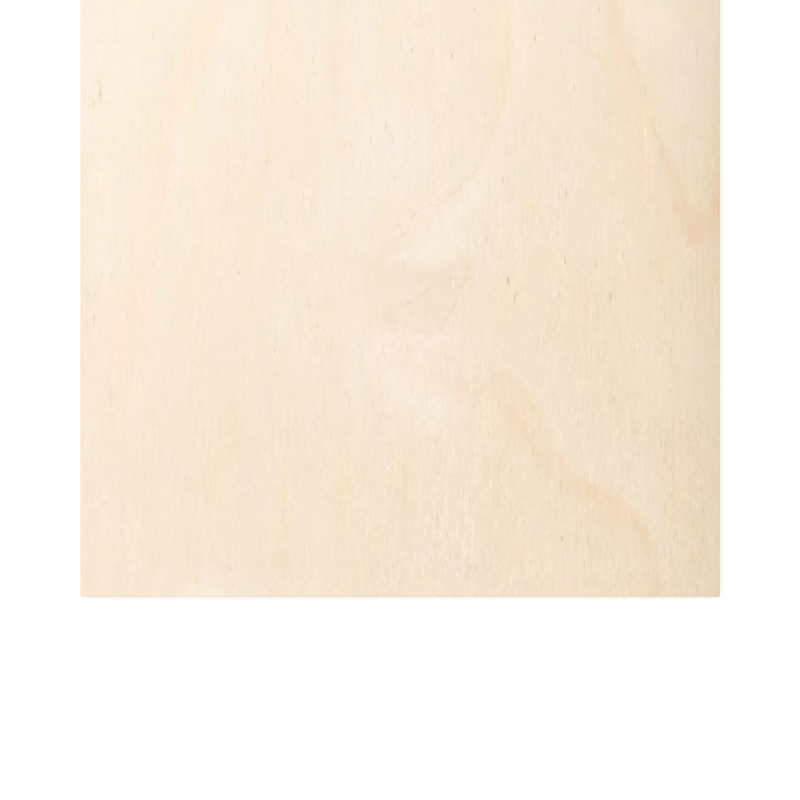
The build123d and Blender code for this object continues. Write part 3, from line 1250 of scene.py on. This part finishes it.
@dataclass(frozen=True)
class SawnEdge(BareWood):
    """The four narrow sides, cut across the plies by a fine panel saw and hardly sanded.

    It gives the eye five thin layers: pale and streaked where a veneer runs along the side, darker and
    pricked with pores where it runs out through it, with a thin brown glue line between each two, a few
    joints in the inner plies and faint upright saw marks. Sizes are in millimetres, and each noise runs
    along the side and up it. A vessel is 0.1 mm wide, and the pores are drawn twice as wide, to show. End
    grain adds the end roughness to the roughness.
    """

    name: str = "birch_plywood_edge_panel_sawn"
    roughness: float = 0.72
    relief_depth: float = 0.04 * MM
    relief_strength: float = 0.5
    end_roughness: float = 0.08
    long_grain: str = "#EBD5B0"
    end_grain: str = "#D5B486"
    glue: str = "#94714C"
    wave_noise: GrainNoise = GrainNoise(14.0, 3.0, 8.3, 1.0)
    wave: float = 0.24
    streaks: GrainNoise = GrainNoise(18.0, 0.22, 1.7, 2.0)
    rings: GrainNoise = GrainNoise(3.2, 2.2, 2.9, 2.0)
    ring_share: float = 0.5
    pores: GrainNoise = GrainNoise(0.2, 0.24, 5.3)
    pore_rim: Pair = (0.52, 0.72)
    pore_dark: float = 0.3
    least_light: float = 0.78
    light_swing: float = 0.5
    glue_line: float = 0.1
    glue_noise: GrainNoise = GrainNoise(2.5, 1.0, 3.7, 2.0)
    glue_rim: Pair = (0.6, 1.5)
    glue_share_most: float = 0.85
    sheet_spacing: float = 230.0
    joint_gap: float = 0.25
    saw_marks: GrainNoise = GrainNoise(0.5, 30.0, 9.1, 1.0)
    saw_mark_light: float = 0.16

    def place(self, tree: Tree, end_side: Socket) -> tuple[Socket, Socket, Socket]:
        """Places as millimetres along the side and up it, with the plies slightly wavy.

        Args:
            tree: the material's node tree.
            end_side: 1 on the sheet's short sides, 0 on the long ones.

        Returns:
            The run along the side and the height as one place, the run, and the height.
        """
        here = add_node(tree, "TexCoord", output="Object")
        here = add_node(tree, "VectorMath", {0: here, "Scale": 1 / MM}, operation="SCALE")
        x, y, z = list(add_node(tree, "SeparateXYZ", (here,)).node.outputs)
        run = add_node(tree, "Mix", {0: end_side, 2: y, 3: x})
        wave = self.wave_noise.add(tree, add_node(tree, "CombineXYZ", (run, z)))
        wave = add_node(tree, "Math", (wave, self.wave, -self.wave / 2), operation="MULTIPLY_ADD")
        height = add_node(tree, "Math", (z, wave), operation="ADD")
        return add_node(tree, "CombineXYZ", (run, height)), run, height

    def wood(self, tree: Tree, place: Socket, end_grain: Socket) -> Socket:
        """The colour of the plies, with grain that runs along the side or out through it.

        Args:
            tree: the material's node tree.
            place: millimetres along the side and up it.
            end_grain: 1 where a ply's fibres run out through the side, 0 where they run along it.

        Returns:
            The colour.
        """
        streaks, rings, pores = [noise.add(tree, place) for noise in (self.streaks, self.rings, self.pores)]
        pores = add_node(
            tree, "MapRange", (pores, *self.pore_rim, 0.0, -self.pore_dark), interpolation_type="SMOOTHSTEP"
        )
        out = add_node(tree, "Math", (rings, self.ring_share, pores), operation="MULTIPLY_ADD")
        light = add_node(tree, "Mix", {0: end_grain, 2: streaks, 3: out})
        light = add_node(tree, "Math", (light, self.light_swing, self.least_light), operation="MULTIPLY_ADD")
        grains = {0: end_grain, 4: linear(self.long_grain), 5: linear(self.end_grain)}
        colour = add_node(tree, "Mix", grains, data_type="VECTOR")
        return add_node(tree, "VectorMath", {0: colour, "Scale": light}, operation="SCALE")

    def glue_share(self, tree: Tree, height: Socket, ragged: Socket) -> Socket:
        """How much glue shows.

        Args:
            tree: the material's node tree.
            height: millimetres above the lowest glue line.
            ragged: noise from 0 to 1 that makes the lines thick and thin.

        Returns:
            The share, from 0 to 1.
        """
        half = INNER_VENEER / 2
        off = add_node(tree, "Math", (height, half, -half), operation="WRAP")
        off = add_node(tree, "Math", (off,), operation="ABSOLUTE")
        off = add_node(tree, "Math", (ragged, self.glue_line, off), operation="MULTIPLY_ADD")
        rim = [self.glue_line * share for share in self.glue_rim]
        fade = (off, *rim, self.glue_share_most, 0.0)
        return add_node(tree, "MapRange", fade, interpolation_type="SMOOTHSTEP")

    def joint_share(self, tree: Tree, run: Socket, ply: Socket) -> Socket:
        """How much shows of the narrow gaps where two sheets of an inner ply meet.

        Args:
            tree: the material's node tree.
            run: millimetres along the side.
            ply: the ply's number, from 0 at the back to 4 at the face.

        Returns:
            The share, from 0 to 1.
        """
        sheets = add_node(tree, "Math", (run, self.sheet_spacing), operation="DIVIDE")
        sheet = add_node(tree, "Math", (sheets,), operation="FLOOR")
        cell = add_node(tree, "CombineXYZ", (sheet, ply))
        chance = add_node(tree, "TexWhiteNoise", {"Vector": cell}, "Value", noise_dimensions="2D")
        off = add_node(tree, "Math", (sheets,), operation="FRACT")
        off = add_node(tree, "Math", (off, chance), operation="SUBTRACT")
        off = add_node(tree, "Math", (off,), operation="ABSOLUTE")
        half_gap = self.joint_gap / 2 / self.sheet_spacing
        gap = add_node(tree, "Math", (off, half_gap), operation="LESS_THAN")
        middle_ply = (PLY_COUNT - 1) / 2
        inner = add_node(tree, "Math", (ply, middle_ply, middle_ply - 0.5), operation="COMPARE")
        return add_node(tree, "Math", (gap, inner), operation="MULTIPLY")

    def build(self) -> bpy.types.Material:
        """Makes the material of the sawn sides.

        Returns:
            The material.
        """
        material = start_material(self.name)
        tree = material.node_tree
        end_side = add_node(tree, "Attribute", output="Fac", attribute_name="end_side")
        place, run, height = self.place(tree, end_side)
        above = add_node(tree, "Math", (height, FACE_VENEER), operation="SUBTRACT")
        ply = add_node(tree, "Math", (above, INNER_VENEER), operation="DIVIDE")
        ply = add_node(tree, "Math", (ply,), operation="FLOOR")
        ply = add_node(tree, "Math", (ply, 1.0), operation="ADD")
        # The fibres of every second ply run across the sheet
        cross = add_node(tree, "Math", (ply, 2.0), operation="MODULO")
        end_grain = add_node(tree, "Math", (cross, end_side), operation="SUBTRACT")
        end_grain = add_node(tree, "Math", (end_grain,), operation="ABSOLUTE")

        colour = self.wood(tree, place, end_grain)
        marks = self.saw_marks.add(tree, place)
        darkest = 1 - self.saw_mark_light / 2
        light = add_node(tree, "Math", (marks, self.saw_mark_light, darkest), operation="MULTIPLY_ADD")
        colour = add_node(tree, "VectorMath", {0: colour, "Scale": light}, operation="SCALE")
        glue = self.glue_share(tree, above, self.glue_noise.add(tree, place))
        lines = add_node(tree, "Math", (glue, self.joint_share(tree, run, ply)), operation="MAXIMUM")
        colour = add_node(tree, "Mix", {0: lines, 4: colour, 5: linear(self.glue)}, data_type="VECTOR")

        rough = (end_grain, self.end_roughness, self.roughness)
        roughness = add_node(tree, "Math", rough, operation="MULTIPLY_ADD")
        self.end(tree, colour, roughness, marks)
        return material


@dataclass(frozen=True)
class BakePatch:
    """Where one side of the sheet lies in the bake map, and which axes run across and up it there."""

    across_axis: int
    left: float
    width: float
    up_axis: int
    bottom: float
    height: float


class Side(IntEnum):
    """Which side of the sheet a piece of its surface is on."""

    FACE = 0
    BACK = 1
    RIGHT = 2
    LEFT = 3
    FAR = 4
    NEAR = 5


# In shares of the bake map. A width under 0 is for a side that would lie there mirrored otherwise.
BAKE_PATCHES = {
    Side.FACE: BakePatch(0, 0.004, 0.562, 1, 0.004, 0.992),
    Side.BACK: BakePatch(0, 0.916, -0.340, 1, 0.004, 0.992),
    Side.RIGHT: BakePatch(2, 0.944, -0.020, 1, 0.004, 0.992),
    Side.LEFT: BakePatch(2, 0.950, 0.020, 1, 0.004, 0.992),
    Side.FAR: BakePatch(2, 0.976, 0.020, 0, 0.004, 0.490),
    Side.NEAR: BakePatch(2, 0.996, -0.020, 0, 0.506, 0.490),
}


@dataclass
class PlywoodPanel:
    """The pressed sheet: a face, a back and four sawn sides whose plies show.

    Sizes are in metres. The least reach stands in for 0 where something is divided by it.
    """

    width: float
    length: float
    thickness: float
    face_veneer: float = FACE_VENEER * MM
    inner_veneer: float = INNER_VENEER * MM
    ply_count: int = PLY_COUNT
    corner_radius: float = 0.8 * MM
    arris_radius: float = 0.4 * MM
    groove_depth: float = 0.04 * MM
    groove_width: float = 0.2 * MM
    flat_rim: float = 0.6 * MM
    cell_across: float = 1.25 * MM
    cell_along: float = 2.5 * MM
    corner_steps: int = 2
    arris_steps: int = 4
    least_reach: float = 1e-9
    sharp_degrees: float = 35.0

    def grid_lines(self, size: float, cell: float) -> np.ndarray:
        """Places the lines of the face's grid along one axis, closer together at the corners.

        Args:
            size: the sheet's size along that axis.
            cell: how far apart the lines are.

        Returns:
            The lines' places, lowest first.
        """
        middle = size / 2 - self.corner_radius
        inner = np.linspace(-middle, middle, round(2 * middle / cell) + 1)
        rim = middle + np.linspace(0, 1, self.corner_steps + 1)[1:] * (self.corner_radius - self.arris_radius)
        return np.concatenate([-rim[::-1], inner, rim])

    def side_profile(self) -> list[Pair]:
        """Works out the lines that run round the sides, from under the face to the flat of the back.

        Returns:
            How far in from the outline each line lies, and its height.
        """
        turns = [step / self.arris_steps * math.pi / 2 for step in range(1, self.arris_steps + 1)]
        arris = [
            (self.arris_radius * (1 - math.sin(turn)), self.arris_radius * (1 - math.cos(turn)))
            for turn in turns
        ]
        profile = [(inset, self.thickness - drop) for inset, drop in arris]
        half = self.groove_width / 2
        for line in reversed(range(self.ply_count - 1)):
            height = self.face_veneer + line * self.inner_veneer
            profile += [(0.0, height + half), (self.groove_depth, height + half / 2)]
            profile += [(self.groove_depth, height - half / 2), (0.0, height - half)]
        profile += [(inset, drop) for inset, drop in reversed(arris)]
        return profile + [(self.arris_radius, 0.0), (self.flat_rim, 0.0)]

    def plan(self, columns: np.ndarray, rows: np.ndarray) -> tuple[np.ndarray, np.ndarray, np.ndarray]:
        """Lays out the points of the face, those of its square corners drawn in to round ones.

        Args:
            columns: the places of the grid's lines across the sheet.
            rows: those along it.

        Returns:
            The points, the middle that each one's corner is round about, and which way it lies from there.
        """
        square = np.stack(np.meshgrid(columns, rows), axis=-1).reshape(-1, 2)
        flat = np.array([self.width, self.length]) / 2 - self.corner_radius
        anchor = np.clip(square, -flat, flat)
        offset = square - anchor
        reach = np.maximum(np.linalg.norm(offset, axis=1), self.least_reach)
        plan = anchor + offset * (np.abs(offset).max(axis=1) / reach)[:, None]
        return plan, anchor, offset / reach[:, None]

    def wall_sides(self, outward: np.ndarray, levels: int) -> np.ndarray:
        """Tells which side of the sheet each mesh face below the rim is on.

        The rounded breaks are sanded as the flat is, so they go with the face and the back.

        Args:
            outward: which way each point of the rim faces.
            levels: how many mesh faces there are from the rim down to the flat of the back.

        Returns:
            One row of sides for each level.
        """
        facing = outward + np.roll(outward, -1, axis=0)
        long_sides = np.where(facing[:, 0] > 0, Side.RIGHT, Side.LEFT)
        short_sides = np.where(facing[:, 1] > 0, Side.FAR, Side.NEAR)
        at_end = np.abs(facing[:, 1]) > np.abs(facing[:, 0])
        sides = np.tile(np.where(at_end, short_sides, long_sides), (levels, 1))
        sides[:self.arris_steps] = Side.FACE
        sides[-self.arris_steps - 1:] = Side.BACK
        return sides

    def shape(self) -> tuple[np.ndarray, list[tuple[int, ...]], np.ndarray]:
        """Works out the sheet's mesh.

        Returns:
            Its points, the points of each of its faces, and which side of the sheet each face is on.
        """
        columns = self.grid_lines(self.width, self.cell_across)
        rows = self.grid_lines(self.length, self.cell_along)
        grid = np.arange(len(rows) * len(columns)).reshape(len(rows), len(columns))
        rim = np.concatenate([grid[0], grid[1:, -1], grid[-1, -2::-1], grid[-2:0:-1, 0]])

        # The points: the face's, a ring at each line of the sides, and the middle of the back
        plan, anchor, outward = self.plan(columns, rows)
        anchor, outward = anchor[rim], outward[rim]
        profile = self.side_profile()
        levels = [np.column_stack([plan, np.full(len(plan), self.thickness)])]
        for inset, height in profile:
            ring = anchor + outward * (self.corner_radius - inset)
            levels.append(np.column_stack([ring, np.full(len(rim), height)]))
        points = np.vstack([*levels, np.zeros((1, 3))])

        # The mesh faces: the grid's, those between the rings, and those round the middle of the back
        squares = [grid[:-1, :-1], grid[:-1, 1:], grid[1:, 1:], grid[1:, :-1]]
        top = np.stack(squares, axis=-1).reshape(-1, 4)
        rings = grid.size + np.arange(len(profile) * len(rim)).reshape(len(profile), -1)
        loops = np.vstack([rim, rings])
        after = np.roll(loops, -1, axis=1)
        walls = np.stack([loops[:-1], loops[1:], after[1:], after[:-1]], axis=-1).reshape(-1, 4)
        middle_point = np.full(len(rim), len(points) - 1)
        under = np.stack([loops[-1], middle_point, after[-1]], axis=-1)
        faces = [tuple(face) for part in (top, walls, under) for face in part.tolist()]

        wall_sides = self.wall_sides(outward, len(profile)).ravel()
        sides = [np.full(len(top), Side.FACE), wall_sides, np.full(len(under), Side.BACK)]
        return points, faces, np.concatenate(sides)

    def build(
        self, face: bpy.types.Material, edge: bpy.types.Material, back: bpy.types.Material
    ) -> bpy.types.Object:
        """Makes the sheet.

        Args:
            face: the good face's material.
            edge: that of the sawn sides.
            back: that of the back.

        Returns:
            The sheet.
        """
        points, faces, sides = self.shape()
        mesh = bpy.data.meshes.new("birch_plywood_sheet")
        mesh.from_pydata(points.tolist(), [], faces)
        for material in (face, edge, back):
            mesh.materials.append(material)
        face_slot, edge_slot, back_slot = range(len(mesh.materials))
        slots = np.select([sides == Side.FACE, sides == Side.BACK], [face_slot, back_slot], edge_slot)
        mesh.polygons.foreach_set("material_index", slots)
        mesh.polygons.foreach_set("use_smooth", np.ones(len(faces), dtype=bool))
        mesh.set_sharp_from_angle(angle=math.radians(self.sharp_degrees))
        self.lay_out_bake(mesh, points, sides)
        self.carry_figure(mesh, points)
        end_side = mesh.attributes.new("end_side", "FLOAT", "FACE")
        at_end = np.isin(sides, (Side.FAR, Side.NEAR))
        end_side.data.foreach_set("value", at_end.astype(np.float32))
        sheet = bpy.data.objects.new("birch_plywood_sheet", mesh)
        bpy.context.scene.collection.objects.link(sheet)
        return sheet

    def lay_out_bake(self, mesh: bpy.types.Mesh, points: np.ndarray, sides: np.ndarray) -> None:
        """Lays the sheet's sides out flat side by side, so that its face gets most of a baked picture.

        Args:
            mesh: the sheet's mesh.
            points: its vertices in metres.
            sides: which side of the sheet each face is on.
        """
        vertex = np.zeros(len(mesh.loops), dtype=np.int32)
        mesh.loops.foreach_get("vertex_index", vertex)
        corners = np.zeros(len(mesh.polygons), dtype=np.int32)
        mesh.polygons.foreach_get("loop_total", corners)
        side = np.repeat(sides, corners)
        # The origin is the middle of the underside
        origin = (0.5, 0.5, 0.0)
        share = points[vertex] / (self.width, self.length, self.thickness) + origin
        places = np.zeros((len(vertex), 2))
        for number, patch in BAKE_PATCHES.items():
            here = side == number
            places[here, 0] = patch.left + patch.width * share[here, patch.across_axis]
            places[here, 1] = patch.bottom + patch.height * share[here, patch.up_axis]
        mesh.uv_layers.new(name="OFBake").uv.foreach_set("vector", places.astype(np.float32).ravel())

    def carry_figure(self, mesh: bpy.types.Mesh, points: np.ndarray) -> None:
        """Writes the veneer's figure, with the shade and sheen painted into its colour, onto the mesh for its
        material to read.

        Args:
            mesh: the sheet's mesh.
            points: its vertices in metres.
        """
        figure = FaceFigure(points[:, 0] / MM, points[:, 1] / MM)
        fields = {
            "figure_with_painted_light": figure.colours(),
            "fibre_mm": figure.fibres(),
            "grain_strength": figure.grain_strength(),
            **figure.ring_edges(),
            **figure.hairlines(),
            **figure.flecks(),
        }
        for name, values in fields.items():
            kind, slot = ("FLOAT_VECTOR", "vector") if values.ndim == 2 else ("FLOAT", "value")
            field = mesh.attributes.new(name, kind, "POINT")
            field.data.foreach_set(slot, values.astype(np.float32).ravel())


@dataclass(frozen=True)
class SoftLamp:
    """A large soft lamp, given by its share of the sheet's light. Its place and size are in metres."""

    name: str
    place: Triple
    size: float
    share: float

    def build(self, target: Vector) -> bpy.types.Object:
        """Makes the lamp and turns it to the sheet.

        Args:
            target: the middle of what the picture shows.

        Returns:
            The lamp.
        """
        light = bpy.data.lights.new(self.name, "AREA")
        light.shape = "DISK"
        light.size = self.size
        away = Vector(self.place) - target
        # The watts at which a level white face there sends back this share of full white
        light.energy = self.share * (math.pi * away.length) ** 2 / (away.z / away.length)
        lamp = bpy.data.objects.new(self.name, light)
        lamp.location = self.place
        lamp.rotation_euler = away.to_track_quat("Z", "Y").to_euler()
        bpy.context.scene.collection.objects.link(lamp)
        return lamp


@dataclass(frozen=True)
class Studio:
    """A pale floor, soft daylight all round and one soft lamp from the far left. Sizes in metres."""

    floor_size: float = 1.7
    floor_gap: float = 0.05 * MM
    opening_inset: float = 2.0 * MM
    floor_colour: str = "#E6E6E6"
    floor_glow: float = 0.4
    daylight: float = 0.824
    lamps: tuple[SoftLamp, ...] = (SoftLamp("window_lamp", (-1.2, 0.6, 1.5), 1.4, 0.211),)

    def seen_directly(self, tree: Tree) -> Socket:
        """Tells what the camera sees, directly, in a mirror or through glass, from the light itself.

        Args:
            tree: the floor's or the world's node tree.

        Returns:
            1 for what is seen, and 0 for the light.
        """
        seen = add_node(tree, "LightPath", output="Is Camera Ray")
        rays = seen.node.outputs
        for other in ("Is Glossy Ray", "Is Transmission Ray"):
            seen = add_node(tree, "Math", (seen, rays[other]), operation="MAXIMUM")
        return seen

    def build_floor(self, low: Vector, high: Vector) -> None:
        """Makes the floor, which shows as white and keeps the sheet's shadow.

        It stops just inside the sheet's outline, so that the back shows when it is looked at from below.

        Args:
            low: the sheet's lowest corner.
            high: its highest corner.
        """
        corners = []
        for half_x, half_y in (
            (high.x - self.opening_inset, high.y - self.opening_inset),
            (self.floor_size / 2, self.floor_size / 2),
        ):
            corners += [(-half_x, -half_y), (half_x, -half_y), (half_x, half_y), (-half_x, half_y)]
        count = len(corners) // 2
        faces = [(k, count + k, count + (k + 1) % count, (k + 1) % count) for k in range(count)]
        mesh = bpy.data.meshes.new("floor")
        mesh.from_pydata([(x, y, low.z - self.floor_gap) for x, y in corners], [], faces)
        floor = bpy.data.objects.new("floor", mesh)
        bpy.context.scene.collection.objects.link(floor)
        material = start_material("floor_matt_white_board")
        tree = material.node_tree
        matt = add_node(tree, "BsdfDiffuse", {"Color": (*linear(self.floor_colour), 1.0)})
        seen = self.seen_directly(tree)
        strength = add_node(tree, "Math", (seen, self.floor_glow), operation="MULTIPLY")
        glow = add_node(tree, "Emission", {"Strength": strength})
        both = add_node(tree, "AddShader", (matt, glow))
        add_node(tree, "OutputMaterial", {"Surface": both})
        mesh.materials.append(material)

    def build_daylight(self) -> None:
        """Makes the even light all round, which shows as white behind the sheet."""
        world = bpy.data.worlds.new("daylight")
        bpy.context.scene.world = world
        world.use_nodes = True
        tree = world.node_tree
        tree.nodes.clear()
        seen = self.seen_directly(tree)
        strength = add_node(tree, "MapRange", (seen, 0.0, 1.0, self.daylight, 1.0))
        light = add_node(tree, "Background", {"Color": (1, 1, 1, 1), "Strength": strength})
        add_node(tree, "OutputWorld", {"Surface": light})

    def build(self, low: Vector, high: Vector, target: Vector) -> None:
        """Makes the floor and all lights.

        Args:
            low: the sheet's lowest corner.
            high: its highest corner.
            target: the middle of what the picture shows.
        """
        self.build_floor(low, high)
        self.build_daylight()
        for lamp in self.lamps:
            lamp.build(target)
            LOG.info("lamp %s", lamp.name)


@dataclass(frozen=True)
class TopCamera:
    """Looks straight down on the near half of the sheet, as in the photograph."""

    picture_px: float = 800.0
    sheet_left_px: float = 80.0
    sheet_right_px: float = 720.0
    sheet_near_px: float = 597.0
    lens_mm: float = 85.0
    sensor_mm: float = 36.0

    def metres_per_px(self, width: float) -> float:
        """How much of the sheet's face a pixel of the picture shows.

        Args:
            width: the sheet's width.

        Returns:
            The length, in metres.
        """
        return width / (self.sheet_right_px - self.sheet_left_px)

    def target(self, low: Vector, high: Vector) -> Vector:
        """The point of the sheet's face in the middle of the picture.

        Args:
            low: the sheet's lowest corner.
            high: its highest corner.

        Returns:
            The point, in metres.
        """
        up = (self.sheet_near_px - self.picture_px / 2) * self.metres_per_px(high.x - low.x)
        return Vector((0.0, low.y + up, high.z))

    def build(self, low: Vector, high: Vector) -> bpy.types.Object:
        """Makes the camera.

        Args:
            low: the sheet's lowest corner.
            high: its highest corner.

        Returns:
            The camera.
        """
        picture_width = self.metres_per_px(high.x - low.x) * self.picture_px
        distance = picture_width * self.lens_mm / self.sensor_mm
        data = bpy.data.cameras.new("camera")
        data.lens = self.lens_mm
        data.sensor_width = self.sensor_mm
        camera = bpy.data.objects.new("camera", data)
        camera.location = self.target(low, high) + Vector((0.0, 0.0, distance))
        bpy.context.scene.collection.objects.link(camera)
        bpy.context.scene.camera = camera
        return camera


def main() -> None:
    """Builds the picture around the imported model."""
    logging.basicConfig(level=logging.INFO, format="%(message)s")
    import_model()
    low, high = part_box(NODE)

    camera = TopCamera()
    camera.build(low, high)
    Studio().build(low, high, camera.target(low, high))
    bpy.context.scene.view_settings.view_transform = "Standard"

    panel = PlywoodPanel(high.x - low.x, high.y - low.y, high.z - low.z)
    sheet = panel.build(FaceVeneer().build(), SawnEdge().build(), BackVeneer().build())
    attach(sheet, BODY)
    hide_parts(NODE)
    LOG.info("sheet: %d faces", len(sheet.data.polygons))


if __name__ == "__main__":
    main()
